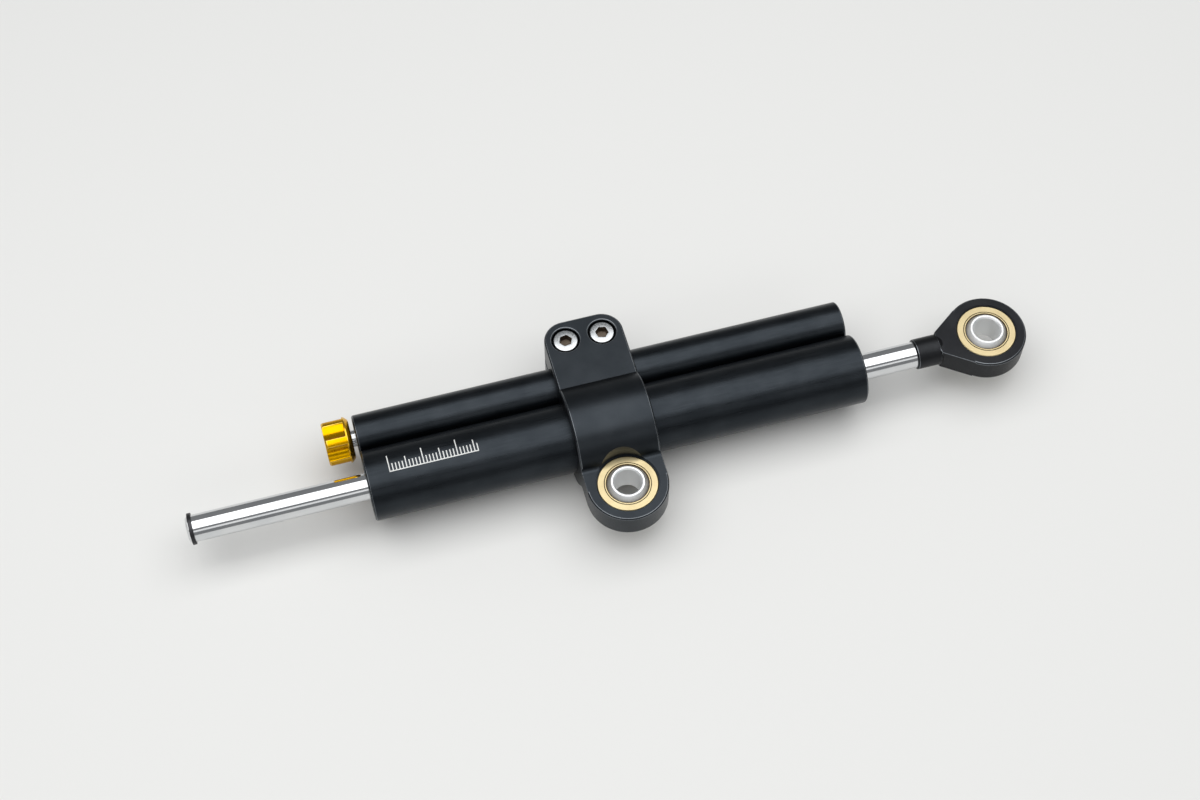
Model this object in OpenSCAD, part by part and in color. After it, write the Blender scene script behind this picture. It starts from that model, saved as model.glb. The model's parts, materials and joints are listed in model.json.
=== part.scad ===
// Linear steering damper: a through-rod cylinder with a side reservoir tube,
// an adjuster knob, a split mounting clamp and a rod end, both with a
// spherical bearing. Millimetres. +X runs along the rod to the rod end, +Z is
// square to the clamp's faces, and the origin is the centre of the clamp's bearing.

/* [Body] */
// Outside diameter of the main cylinder
cylinder_d = 20.8; // [20.4:0.1:21.4]
// Working bore of the main cylinder
cylinder_bore_d = 16; // [15:0.1:16.2]
// Wider bore at each end that seats a rod guide
guide_seat_d = 17.2; // [16.8:0.1:17.6]
// Depth of that seat from the end face
guide_seat_depth = 26; // [24:0.5:27]
// Outside diameter of the reservoir tube
reservoir_d = 13.3; // [12.6:0.1:14]
// Bore of the reservoir tube
reservoir_bore_d = 10.4; // [10:0.1:10.6]
// Distance between the axes of the two tubes
tube_spacing = 16.8; // [16.2:0.1:17]
// Length of the body
body_len = 150; // [145:1:165]
// Distance from the middle of the clamp to the adjuster end of the body
body_left = 72.4; // [68:0.2:75]
// Thickness of the web that joins the two tubes
web_t = 4; // [3.6:0.2:7]
// Diameter of the ports between cylinder and reservoir
port_d = 2.4; // [1.6:0.2:2.8]
// Chamfer on the ends of the tubes
body_chamfer = 0.4; // [0.2:0.05:0.6]

/* [Clamp] */
// Width of the clamp along the rod
clamp_w = 24; // [22:0.5:28]
// Wall of the clamp over the main cylinder
clamp_wall = 4.4; // [4:0.1:5.4]
// Thickness of the clamp at its screws
block_t = 20; // [18:0.5:22]
// Thickness of the lobe that holds the bearing
lobe_t = 8.4; // [8:0.1:9.4]
// Distance from the bearing to the rod axis
axis_offset = 21.1; // [20.8:0.1:23]
// Distance from the rod axis to the row of screws
screw_row = 27.1; // [26.8:0.1:29]
// Distance between the two screws
screw_pitch = 11.2; // [10:0.1:12.6]
// Distance from the screws to the far edge of the clamp
screw_edge = 6.5; // [6.4:0.1:8]
// Radius of the clamp's far corners
corner_r = 6.6; // [5:0.1:8]
// Gap of the slit that the screws close
slit_t = 1.6; // [1:0.1:2.4]
// Radius of the fillet between lobe and cylinder part
lobe_fillet_r = 1.4; // [1:0.1:2]
// Chamfer along the clamp's edges
clamp_chamfer = 0.4; // [0.2:0.05:0.6]

/* [Clamp screws] */
// Thread diameter of a clamp screw
screw_d = 4; // [3.5:0.1:4.4]
// Length of a clamp screw under its head
screw_len = 14; // [12:0.5:15]
// Head diameter of a clamp screw
screw_head_d = 7.6; // [7:0.1:8]
// Head height of a clamp screw
screw_head_h = 4; // [3.4:0.1:4.4]
// Width across the flats of the hexagon socket
screw_hex = 3.4; // [2.5:0.1:4]
// Depth of the hexagon socket
screw_hex_depth = 2.2; // [1.5:0.1:2.6]
// How far a head lies below the clamp's face
screw_recess = 0.4; // [0.2:0.1:0.8]

/* [Bearings] */
// Bore of each bearing ball
eye_bore_d = 8; // [6:0.1:8.6]
// Diameter of the ball
ball_d = 14; // [13.6:0.1:14.4]
// Width of the ball
ball_w = 10; // [9:0.1:10.6]
// Outside diameter of the outer ring
race_d = 18; // [17.6:0.1:18.4]
// Width of the outer ring
race_w = 7.5; // [7:0.1:7.8]
// Thickness of the sliding liner
liner_t = 0.35; // [0.25:0.05:0.5]

/* [Rod] */
// Diameter of the through-rod
rod_d = 8; // [7:0.1:8.4]
// Length of rod that stands out at the adjuster end
rod_out_left = 52.8; // [52.6:0.2:56]
// Gap from the body to the rod end
rod_out_right = 17.9; // [16.4:0.1:20]
// Travel of the rod towards the adjuster end
travel_in = 16; // [10:0.5:16]
// Travel of the rod towards the rod end
travel_out = 52; // [40:0.5:52]
// Diameter of the thread in the rod end
stud_d = 6; // [5:0.1:6.4]
// Length of that thread
stud_len = 8; // [6:0.5:9]

/* [Piston] */
// Length of the piston
piston_len = 10; // [8:0.5:12]
// Width of the piston's band
band_w = 4; // [3:0.5:5]
// Length of an end buffer inside the chamber
buffer_len = 8.1; // [4:0.1:8.2]

/* [Rod end] */
// Outside diameter of the eye
eye_d = 24; // [23.4:0.1:26]
// Thickness of the eye
eye_t = 7.8; // [7.6:0.1:8.6]
// Distance from the start of the neck to the centre of the eye
eye_reach = 22.9; // [22:0.1:25]
// Diameter of the neck
neck_d = 9.2; // [8.8:0.1:10]
// Length of the round neck
neck_len = 7.5; // [6:0.1:8.5]
// Width of the eye where it meets the neck
shoulder_w = 7.4; // [6:0.1:8.6]

/* [Adjuster] */
// Diameter of the knob
knob_d = 13.8; // [13:0.1:15]
// Length of the knob
knob_len = 8; // [7:0.1:9]
// Gap between the knob and the body
knob_gap = 1.2; // [0.8:0.1:1.6]
// Number of finger flutes round the knob
knob_flutes = 6; // [5:1:7]
// Radius of a flute
flute_r = 4.2; // [3.8:0.1:4.6]
// Depth of a flute
flute_depth = 1.2; // [0.9:0.1:1.4]
// Width of the plain rim beside the body
knob_rim = 1.7; // [1.4:0.1:2.2]
// Diameter of the adjuster spindle
spindle_d = 5; // [4.6:0.1:5.2]
// Thread diameter of the needle drive
needle_thread_d = 3; // [2.6:0.1:3.2]
// Number of clicks in one turn of the knob
clicks = 18; // [8:1:20]

/* [Compensator] */
// Length of the floating piston
float_len = 6; // [5:0.5:7]
// Wire diameter of the compensator spring
spring_wire = 0.9; // [0.7:0.05:1]
// Number of turns of the compensator spring
spring_turns = 6; // [4:1:7]

/* [Hidden] */
// Gap of a running fit, on the radius
run_gap = 0.03;
// Gap of a seated fit, on the radius
seat_gap = 0.02;
// Overshoot of a cut past the face it opens
eps = 0.1;
// How far a fillet's cutter reaches past the faces it blends
fillet_bite = 0.02;
$fn = 96;

cylinder_r = cylinder_d / 2;
cylinder_bore_r = cylinder_bore_d / 2;
guide_seat_r = guide_seat_d / 2;
reservoir_r = reservoir_d / 2;
reservoir_bore_r = reservoir_bore_d / 2;
reservoir_offset = axis_offset + tube_spacing;
body_x0 = -body_left;
body_x1 = body_len - body_left;

// Rod guides, the clips that hold them and the ends of the working chamber
clip_t = 0.9;
clip_inset = 1.2;
clip_groove = 0.6;
clip_wire = 1.3;
clip_mouth = 40;
guide_x = clip_inset + clip_t;
guide_len = guide_seat_depth - guide_x - seat_gap;
chamber_x0 = body_x0 + guide_seat_depth;
chamber_x1 = body_x1 - guide_seat_depth;
port_x0 = chamber_x0 + port_d / 2 + 0.4;
port_x1 = chamber_x1 - port_d / 2 - 0.4;
port_plug_len = 1.2;
seal_t = 3.2;
seal_wall = 2.4;
buffer_root = 1.6;
bushing_len = 10;
bushing_wall = 1;
wiper_t = 2.4;
wiper_wall = 2;
ring_section = 1.36;
ring_groove_w = 2;
ring_from_face = 11;

// Rod and piston
rod_r = rod_d / 2;
rod_x0 = body_x0 - rod_out_left;
neck_x0 = body_x1 + rod_out_right;
rod_chamfer = 0.6;
mid_stroke = (travel_out - travel_in) / 2;
piston_x = (chamber_x0 + chamber_x1) / 2 - mid_stroke;
piston_r = cylinder_bore_r - 0.05;
band_t = 0.75;
bleed_d = 1;
bleed_count = 6;
rod_clip_t = 0.8;
rod_clip_groove = 0.4;
rod_clip_wall = 0.9;
stop_ring_t = 1.1;
stop_ring_inset = 0.7;
stop_ring_groove = 0.5;
stop_ring_wall = 0.65;

// Clamp
hump_r = cylinder_r + clamp_wall;
lobe_r = clamp_w / 2;
clamp_far = axis_offset + screw_row + screw_edge;
race_r = race_d / 2;
seat_relief = 0.35;
screw_row_y = axis_offset + screw_row;
screw_head_z = block_t / 2 - screw_recess;
screw_seat_z = screw_head_z - screw_head_h;
head_gap = 0.4;
shank_gap = 0.15;

// Bearings
ball_r = ball_d / 2;
liner_r = ball_r + run_gap + liner_t;
liner_w = race_w - 0.5;
ball_chamfer = 0.4;
race_chamfer = 0.3;

// Rod end
eye_r = eye_d / 2;
eye_x = neck_x0 + eye_reach;
neck_r = neck_d / 2;
shoulder_x = neck_x0 + neck_len - eye_x;
neck_chamfer = 0.5;

// Adjuster
knob_r = knob_d / 2;
knob_x1 = body_x0 - knob_gap;
knob_x0 = knob_x1 - knob_len;
knob_chamfer = 1.2;
knob_edge = 0.5;
knob_screw_head_d = 5.6;
knob_screw_head_h = 1.8;
knob_screw_d = 2.5;
knob_screw_len = 5;
knob_web = 2.6;
housing_x0 = body_x0 + 0.3;
housing_len = port_x0 - port_d / 2 - 0.3 - housing_x0;
housing_r = reservoir_bore_r - seat_gap;
spindle_r = spindle_d / 2;
collar_r = spindle_r + 1.1;
collar_t = 3;
collar_x0 = housing_x0 + 5.5;
hex_key = 7.4;
valve_seat_x0 = port_x0 + port_d / 2 + 0.4;
valve_seat_t = 4;
orifice_d = 2.2;
needle_len = 9;
needle_x1 = valve_seat_x0 - 1.9;
needle_x0 = needle_x1 - needle_len;
needle_tip = 5;
needle_tip_r = 1.3;
spindle_clip_t = 0.6;
spindle_clip_x = collar_x0 + collar_t + seat_gap;
detent_r = 0.8;
detent_depth = 0.25;
detent_x = collar_x0 + collar_t / 2;
detent_ring = collar_r - detent_r + detent_depth;
detent_floor = 0.5;
click_r = 0.35;
detent_wire = 0.25;
detent_turns = 3;

// Reservoir's far end
plug_x1 = body_x1 - clip_inset - clip_t;
plug_len = 7;
plug_x0 = plug_x1 - plug_len;
float_travel = 2;
float_x0 = port_x1 + port_d / 2 + float_travel + 0.8;
float_x1 = float_x0 + float_len;
float_r = reservoir_bore_r - 0.04;
float_groove_w = 1.8;
float_ring = 1.2;
float_cup_r = 3.9;
float_cup_depth = 2.2;
spring_r = 3.2;

black = [0.07, 0.075, 0.08];
gold = [0.93, 0.68, 0.10];
pale_gold = [0.86, 0.74, 0.45];
chrome = [0.85, 0.87, 0.9];
steel = [0.6, 0.62, 0.65];
bronze = [0.66, 0.5, 0.28];
seal_black = [0.1, 0.1, 0.11];
white_ptfe = [0.85, 0.85, 0.82];

// A child drawn along +Z is turned to run along +X from x, on the rod axis
module on_rod(x) {
    translate([x, axis_offset, 0]) rotate([0, 90, 0]) children();
}

// The same on the axis of the reservoir tube
module on_reservoir(x) {
    translate([x, reservoir_offset, 0]) rotate([0, 90, 0]) children();
}

// A round bar with a bore
module sleeve(len, outer_r, inner_r) {
    difference() {
        cylinder(r = outer_r, h = len);
        translate([0, 0, -eps]) cylinder(r = inner_r, h = len + 2 * eps);
    }
}

// The ring that a 45 degree chamfer takes off the rim of a round bar at z = 0
module rim_cut(r, c) {
    rotate_extrude() polygon([[r - c, -eps], [r + eps, -eps], [r + eps, c], [r, c], [r - c, 0]]);
}

// The cone that a 45 degree chamfer takes off the mouth of a bore at z = 0
module mouth_cut(r, c) {
    translate([0, 0, -eps]) cylinder(r1 = r + c + eps, r2 = r, h = c + eps);
}

// A round ring of round section, about the +Z axis
module o_ring(mid_r, section_d) {
    rotate_extrude() translate([mid_r, 0]) circle(d = section_d, $fn = 32);
}

// A flat retaining ring with an open mouth
module clip(len, outer_r, inner_r, mouth) {
    difference() {
        sleeve(len, outer_r, inner_r);
        rotate([0, 0, -mouth / 2]) translate([0, 0, -eps])
            linear_extrude(len + 2 * eps)
            polygon([[0, 0], [2 * outer_r, 0], [2 * outer_r * cos(mouth), 2 * outer_r * sin(mouth)]]);
    }
}

// Points of one six-sided section of a coil, at turn t
function coil_section(t, coil_r, wire_r, pitch) = [
    for (k = [0:5]) [
        (coil_r + wire_r * cos(60 * k)) * cos(360 * t),
        (coil_r + wire_r * cos(60 * k)) * sin(360 * t),
        pitch * t + wire_r * sin(60 * k)
    ]
];

// A coil spring along +Z, with its first and last turn's wire inside len
module coil(len, coil_r, wire_d, turns, steps = 12) {
    pitch = (len - wire_d) / turns;
    rings = turns * steps;
    points = [
        for (i = [0:rings]) each coil_section(i / steps, coil_r, wire_d / 2, pitch)
    ];
    sides = [
        for (i = [0:rings - 1], k = [0:5]) each [
            [6 * i + k, 6 * i + (k + 1) % 6, 6 * (i + 1) + k],
            [6 * i + (k + 1) % 6, 6 * (i + 1) + (k + 1) % 6, 6 * (i + 1) + k]
        ]
    ];
    first = [for (k = [1:4]) [0, k + 1, k]];
    last = [for (k = [1:4]) [6 * rings, 6 * rings + k, 6 * rings + k + 1]];
    translate([0, 0, wire_d / 2]) polyhedron(points, concat(first, sides, last));
}

// Point where a tangent from [px, py] touches a circle of radius r, on the py side
function tangent_point(px, py, r) =
    let (a = atan2(py, px) - acos(r / norm([px, py])))
    [r * cos(a), r * sin(a)];

// The body's outline: both tubes and the web, grown by gap. x runs from the
// cylinder to the reservoir.
module twin_outline(gap) {
    circle(r = cylinder_r + gap);
    translate([tube_spacing, 0]) circle(r = reservoir_r + gap);
    translate([0, -web_t / 2 - gap]) square([tube_spacing, web_t + 2 * gap]);
}

// Extrudes an outline drawn with x across the body and y up, along +X
module along_body(x0, x1) {
    translate([x0, axis_offset, 0]) rotate([90, 0, 90]) linear_extrude(x1 - x0) children();
}

module twin_tube_body() {
    color(black) difference() {
        along_body(body_x0, body_x1) twin_outline(0);
        on_rod(body_x0 - eps) cylinder(r = cylinder_bore_r, h = body_len + 2 * eps);
        on_reservoir(body_x0 - eps) cylinder(r = reservoir_bore_r, h = body_len + 2 * eps);
        on_rod(body_x0 - eps) cylinder(r = guide_seat_r, h = guide_seat_depth + eps);
        on_rod(chamber_x1) cylinder(r = guide_seat_r, h = guide_seat_depth + eps);
        for (x = [body_x0 + clip_inset, body_x1 - clip_inset - clip_t])
            on_rod(x) cylinder(r = guide_seat_r + clip_groove, h = clip_t);
        on_reservoir(plug_x1) cylinder(r = reservoir_bore_r + clip_groove, h = clip_t);
        for (x = [port_x0, port_x1])
            translate([x, axis_offset, 0]) rotate([-90, 0, 0])
                cylinder(d = port_d, h = tube_spacing + 2 * reservoir_r);
        on_rod(body_x0) body_end_cuts();
        on_rod(body_x1) mirror([0, 0, 1]) body_end_cuts();
    }
}

// Chamfers on one end of the body, about the rod axis at z = 0
module body_end_cuts() {
    end_rim_cut(cylinder_r);
    mouth_cut(guide_seat_r, body_chamfer);
    translate([0, tube_spacing, 0]) {
        end_rim_cut(reservoir_r);
        mouth_cut(reservoir_bore_r, body_chamfer);
    }
}

// A rim chamfer that stays off the tube beside it
module end_rim_cut(r) {
    c = body_chamfer;
    rotate_extrude() polygon([[r - c, -eps], [r, -eps], [r, c], [r - c, 0]]);
}

// A rod guide, its outer face at z = 0 and its inner face towards the chamber
module rod_guide() {
    seal_z = guide_len - buffer_root - seal_t;
    color(steel) difference() {
        sleeve(guide_len, guide_seat_r - seat_gap, rod_r + 0.4);
        translate([0, 0, -eps]) cylinder(r = rod_r + wiper_wall, h = wiper_t + eps);
        translate([0, 0, wiper_t + 1.5]) cylinder(r = rod_r + bushing_wall, h = guide_len);
        translate([0, 0, seal_z]) cylinder(r = rod_r + seal_wall, h = guide_len);
        translate([0, 0, ring_from_face - ring_groove_w / 2])
            sleeve(ring_groove_w, guide_seat_r + eps, guide_seat_r - ring_section - seat_gap);
        translate([0, 0, guide_len]) mirror([0, 0, 1]) rim_cut(guide_seat_r - seat_gap, body_chamfer);
    }
}

// Places a child at the left guide and its mirror image at the right guide
module at_left_guide() {
    on_rod(body_x0 + guide_x) children();
}

module at_right_guide() {
    on_rod(body_x1 - guide_x) mirror([0, 0, 1]) children();
}

module rod_guide_left() {
    at_left_guide() rod_guide();
}

module rod_guide_right() {
    at_right_guide() rod_guide();
}

// A lip seal with its spring groove towards the oil
module lip_seal() {
    difference() {
        sleeve(seal_t - seat_gap, rod_r + seal_wall - seat_gap, rod_r + seat_gap);
        translate([0, 0, seal_t - 1.2])
            sleeve(seal_t, rod_r + seal_wall - 0.8, rod_r + 0.7);
    }
}

module rod_seals() {
    z = guide_len - buffer_root - seal_t;
    color(seal_black) {
        at_left_guide() translate([0, 0, z]) lip_seal();
        at_right_guide() translate([0, 0, z]) lip_seal();
    }
}

// A lined bushing that carries the rod in its guide
module rod_bushing() {
    translate([0, 0, wiper_t + 1.5 + seat_gap])
        sleeve(bushing_len, rod_r + bushing_wall - seat_gap, rod_r + run_gap);
}

module rod_bushings() {
    color(bronze) {
        at_left_guide() rod_bushing();
        at_right_guide() rod_bushing();
    }
}

// A rubber end stop, seated in the guide and standing out into the chamber
module end_buffer() {
    root_r = rod_r + seal_wall - seat_gap;
    difference() {
        union() {
            translate([0, 0, guide_len - buffer_root]) cylinder(r = root_r, h = buffer_root + eps);
            translate([0, 0, guide_len]) cylinder(r1 = root_r, r2 = root_r - 0.4, h = buffer_len);
        }
        cylinder(r = rod_r + 0.4, h = guide_len + 2 * buffer_len);
    }
}

module end_buffers() {
    color(seal_black) {
        at_left_guide() end_buffer();
        at_right_guide() end_buffer();
    }
}

// Plugs that close the drillings of the ports in the reservoir's outer wall
module port_plugs() {
    outer = reservoir_offset + reservoir_r - 0.1;
    color(steel) for (x = [port_x0, port_x1])
        translate([x, outer - port_plug_len, 0]) rotate([-90, 0, 0])
        cylinder(r = port_d / 2 - seat_gap, h = port_plug_len);
}

// A wiper whose lip stands out of the guide
module rod_wiper() {
    translate([0, 0, seat_gap]) sleeve(wiper_t - 2 * seat_gap, rod_r + wiper_wall - seat_gap, rod_r + 0.5);
    difference() {
        translate([0, 0, -0.6]) cylinder(r1 = rod_r + 0.5, r2 = rod_r + 0.9, h = 1.6);
        translate([0, 0, -1]) cylinder(r = rod_r + seat_gap, h = 3);
    }
}

module rod_wipers() {
    color(seal_black) {
        at_left_guide() rod_wiper();
        at_right_guide() rod_wiper();
    }
}

module guide_o_rings() {
    mid_r = guide_seat_r - seat_gap - ring_section / 2;
    color(seal_black) {
        at_left_guide() translate([0, 0, ring_from_face]) o_ring(mid_r, ring_section - 2 * seat_gap);
        at_right_guide() translate([0, 0, ring_from_face]) o_ring(mid_r, ring_section - 2 * seat_gap);
    }
}

module guide_clips() {
    outer_r = guide_seat_r + clip_groove - seat_gap;
    color(steel) for (x = [body_x0 + clip_inset, body_x1 - clip_inset - clip_t])
        on_rod(x + seat_gap) clip(clip_t - 2 * seat_gap, outer_r, guide_seat_r - clip_wire, clip_mouth);
}

// Side view of the clamp: x across it and y up
module clamp_side() {
    lobe_top = lobe_t / 2;
    f = lobe_fillet_r;
    fillet_x = axis_offset - sqrt(pow(hump_r + f, 2) - pow(lobe_top + f, 2));
    touch = hump_r / (hump_r + f);
    touch_x = axis_offset + (fillet_x - axis_offset) * touch;
    difference() {
        union() {
            translate([axis_offset, 0]) circle(r = hump_r);
            translate([-lobe_r, -lobe_top]) square([lobe_r + axis_offset, lobe_t]);
            translate([axis_offset, -block_t / 2]) square([clamp_far - axis_offset, block_t]);
            polygon([
                [fillet_x, -lobe_top - fillet_bite], [touch_x, -(lobe_top + f) * touch],
                [axis_offset, 0],
                [touch_x, (lobe_top + f) * touch], [fillet_x, lobe_top + fillet_bite]
            ]);
        }
        for (side = [-1, 1]) translate([fillet_x, side * (lobe_top + f)]) circle(r = f + fillet_bite);
    }
}

// Plan of the clamp, seen along Z, shrunk by inset
module clamp_plan(inset) {
    w = clamp_w - 2 * inset;
    r = corner_r - inset;
    far = clamp_far - inset;
    circle(r = w / 2);
    translate([-w / 2, 0]) square([w, far - r]);
    translate([-w / 2 + r, 0]) square([w - 2 * r, far]);
    for (side = [-1, 1]) translate([side * (w / 2 - r), far - r]) circle(r = r);
}

// The chamfer along the top face of the screw block
module block_edge_cuts() {
    c = clamp_chamfer;
    straight = clamp_far - corner_r;
    for (side = [-1, 1]) {
        mirror([side < 0 ? 1 : 0, 0, 0]) {
            translate([clamp_w / 2, axis_offset, block_t / 2]) rotate([-90, 0, 0])
                linear_extrude(straight - axis_offset)
                polygon([[eps, -eps], [eps, c], [0, c], [-c, 0], [-c, -eps]]);
            translate([clamp_w / 2 - corner_r, straight, block_t / 2]) intersection() {
                mirror([0, 0, 1]) rim_cut(corner_r, c);
                translate([0, 0, -block_t / 4]) cube(block_t);
            }
        }
    }
    translate([0, clamp_far, block_t / 2]) rotate([90, 0, 90])
        linear_extrude(clamp_w - 2 * corner_r, center = true)
        polygon([[eps, eps], [eps, -c], [0, -c], [-c, 0], [-c, eps]]);
}

// The chamfer along the top face of the bearing lobe
module lobe_edge_cuts() {
    translate([0, 0, lobe_t / 2]) intersection() {
        mirror([0, 0, 1]) rim_cut(lobe_r, clamp_chamfer);
        translate([-clamp_w, -2 * clamp_w, -clamp_w]) cube(2 * clamp_w);
    }
}

// The chamfers along the two edges of the round part over the cylinder, above
// the fillets
module hump_edge_cuts() {
    low = (lobe_t / 2 + lobe_fillet_r) * hump_r / (hump_r + lobe_fillet_r) + eps;
    for (side = [0, 1]) mirror([side, 0, 0])
        on_rod(clamp_w / 2) mirror([0, 0, 1]) intersection() {
            rim_cut(hump_r, clamp_chamfer);
            translate([-2 * hump_r, -2 * hump_r, -hump_r])
                cube([2 * hump_r - low, 4 * hump_r, 2 * hump_r]);
        }
}

module mount_clamp() {
    color(black) difference() {
        intersection() {
            translate([-clamp_w / 2, 0, 0]) rotate([90, 0, 90]) linear_extrude(clamp_w) clamp_side();
            translate([0, 0, -hump_r]) linear_extrude(2 * hump_r) clamp_plan(0);
        }
        along_body(-clamp_w, clamp_w) twin_outline(seat_gap);
        translate([-clamp_w, reservoir_offset, -slit_t / 2]) cube([2 * clamp_w, clamp_far, slit_t]);
        translate([0, 0, -lobe_t]) cylinder(r = race_r, h = 2 * lobe_t);
        for (side = [0, 1]) mirror([0, 0, side]) {
            translate([0, 0, race_w / 2]) cylinder(r = race_r + seat_relief, h = hump_r);
            block_edge_cuts();
            lobe_edge_cuts();
            hump_edge_cuts();
        }
        for (side = [-1, 1]) translate([side * screw_pitch / 2, screw_row_y, 0]) screw_holes();
    }
}

// The holes for one clamp screw
module screw_holes() {
    translate([0, 0, screw_seat_z]) cylinder(r = screw_head_d / 2 + head_gap, h = block_t);
    cylinder(r = screw_d / 2 + shank_gap, h = block_t);
    translate([0, 0, -block_t]) cylinder(r = screw_d / 2 + seat_gap, h = block_t + eps);
    translate([0, 0, block_t / 2 - clamp_chamfer / 2])
        cylinder(r1 = screw_head_d / 2 + head_gap, r2 = screw_head_d / 2 + head_gap + clamp_chamfer,
            h = clamp_chamfer);
}

// One socket head screw, the seat of its head at z = 0
module clamp_screw() {
    head_chamfer = 0.3;
    difference() {
        union() {
            cylinder(d = screw_head_d, h = screw_head_h - head_chamfer);
            translate([0, 0, screw_head_h - head_chamfer])
                cylinder(r1 = screw_head_d / 2, r2 = screw_head_d / 2 - head_chamfer, h = head_chamfer);
            translate([0, 0, -screw_len]) cylinder(d = screw_d, h = screw_len + eps);
        }
        translate([0, 0, screw_head_h - screw_hex_depth])
            cylinder(d = screw_hex / cos(30), h = screw_hex_depth + eps, $fn = 6);
        translate([0, 0, screw_head_h - screw_hex_depth - 0.5])
            cylinder(r1 = 0.2, r2 = screw_hex / 2, h = 0.6);
    }
}

module clamp_screws() {
    turn = [38, 14];
    color(chrome) for (i = [0, 1])
        translate([(i - 0.5) * screw_pitch, screw_row_y, screw_seat_z]) rotate([0, 0, turn[i]]) clamp_screw();
}

// Outer ring of a spherical bearing, on the Z axis
module race() {
    difference() {
        cylinder(r = race_r - seat_gap, h = race_w, center = true);
        sphere(r = liner_r + seat_gap);
        for (side = [0, 1]) mirror([0, 0, side])
            translate([0, 0, -race_w / 2]) rim_cut(race_r - seat_gap, race_chamfer);
    }
}

// Sliding liner between the outer ring and the ball
module liner() {
    intersection() {
        difference() {
            sphere(r = liner_r);
            sphere(r = ball_r + run_gap);
        }
        cylinder(r = race_r, h = liner_w, center = true);
    }
}

// Ball with its bolt bore
module ball() {
    difference() {
        intersection() {
            sphere(r = ball_r);
            cylinder(r = race_r, h = ball_w, center = true);
        }
        cylinder(d = eye_bore_d, h = 2 * ball_w, center = true);
        for (side = [0, 1]) mirror([0, 0, side])
            translate([0, 0, -ball_w / 2]) mouth_cut(eye_bore_d / 2, ball_chamfer);
    }
}

module frame_bearing_race() {
    color(pale_gold) race();
}

module frame_bearing_liner() {
    color(bronze) liner();
}

module frame_bearing_ball() {
    color(chrome) ball();
}

// The rod-end bearing stands at the eye
module at_eye() {
    translate([eye_x, axis_offset, 0]) children();
}

module rod_end_race() {
    color(pale_gold) at_eye() race();
}

module rod_end_liner() {
    color(bronze) at_eye() liner();
}

module rod_end_ball() {
    color(chrome) at_eye() ball();
}

// Plan of the eye: a round head drawn in to the shoulder of the neck
module eye_plan() {
    t = tangent_point(shoulder_x, shoulder_w / 2, eye_r);
    circle(r = eye_r);
    polygon([
        [shoulder_x, -shoulder_w / 2], [t[0], -t[1]], [0, 0], [t[0], t[1]], [shoulder_x, shoulder_w / 2]
    ]);
}

module rod_end() {
    color(black) difference() {
        union() {
            at_eye() translate([0, 0, -eye_t / 2]) linear_extrude(eye_t) eye_plan();
            on_rod(neck_x0) cylinder(r = neck_r, h = neck_len);
            on_rod(neck_x0 + neck_len - eps) cylinder(r1 = neck_r, r2 = eye_t / 2 - 0.4, h = 2.4);
        }
        on_rod(neck_x0) rim_cut(neck_r, neck_chamfer);
        on_rod(neck_x0 - eps) cylinder(r = stud_d / 2 + seat_gap, h = stud_len + 0.5 + eps);
        at_eye() translate([0, 0, -eye_t]) cylinder(r = race_r, h = 2 * eye_t);
        at_eye() for (side = [0, 1]) mirror([0, 0, side]) {
            translate([0, 0, race_w / 2]) cylinder(r = race_r + seat_relief, h = eye_t);
            translate([0, 0, eye_t / 2]) intersection() {
                mirror([0, 0, 1]) rim_cut(eye_r, clamp_chamfer);
                translate([tangent_point(shoulder_x, shoulder_w / 2, eye_r)[0], -eye_d, -eye_t])
                    cube(2 * eye_d);
            }
        }
    }
}

module piston_rod() {
    stud_chamfer = 0.5;
    color(chrome) difference() {
        union() {
            on_rod(rod_x0) cylinder(r = rod_r, h = neck_x0 - seat_gap - rod_x0);
            on_rod(neck_x0 - eps) cylinder(d = stud_d, h = stud_len + eps);
        }
        on_rod(rod_x0) rim_cut(rod_r, rod_chamfer);
        on_rod(neck_x0 + stud_len) mirror([0, 0, 1]) rim_cut(stud_d / 2, stud_chamfer);
        for (x = piston_clip_x()) on_rod(x)
            sleeve(rod_clip_t, rod_r + eps, rod_r - rod_clip_groove);
        on_rod(rod_x0 + stop_ring_inset) sleeve(stop_ring_t, rod_r + eps, rod_r - stop_ring_groove);
    }
}

// Ring that keeps the rod from being drawn out of the body
module rod_stop_ring() {
    color(steel) on_rod(rod_x0 + stop_ring_inset + seat_gap)
        clip(stop_ring_t - 2 * seat_gap, rod_r + stop_ring_wall, rod_r - stop_ring_groove + seat_gap,
            clip_mouth);
}

// Start of each groove for the clips beside the piston
function piston_clip_x() = [
    piston_x - piston_len / 2 - rod_clip_t - run_gap,
    piston_x + piston_len / 2 + run_gap
];

module piston_clips() {
    color(steel) for (x = piston_clip_x()) on_rod(x + seat_gap)
        clip(rod_clip_t - 2 * seat_gap, rod_r + rod_clip_wall, rod_r - rod_clip_groove + seat_gap,
            clip_mouth);
}

module piston() {
    bleed_ring = (rod_r + piston_r - band_t) / 2;
    color(steel) on_rod(piston_x - piston_len / 2) difference() {
        sleeve(piston_len, piston_r, rod_r + run_gap);
        translate([0, 0, (piston_len - band_w) / 2]) sleeve(band_w, piston_r + eps, piston_r - band_t);
        for (i = [0:bleed_count - 1]) rotate([0, 0, 360 / bleed_count * i])
            translate([bleed_ring, 0, -eps]) cylinder(d = bleed_d, h = piston_len + 2 * eps, $fn = 32);
        rim_cut(piston_r, body_chamfer);
        translate([0, 0, piston_len]) mirror([0, 0, 1]) rim_cut(piston_r, body_chamfer);
    }
}

module piston_band() {
    color(white_ptfe) on_rod(piston_x - band_w / 2 + seat_gap)
        sleeve(band_w - 2 * seat_gap, cylinder_bore_r - seat_gap, piston_r - band_t + seat_gap);
}

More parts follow.
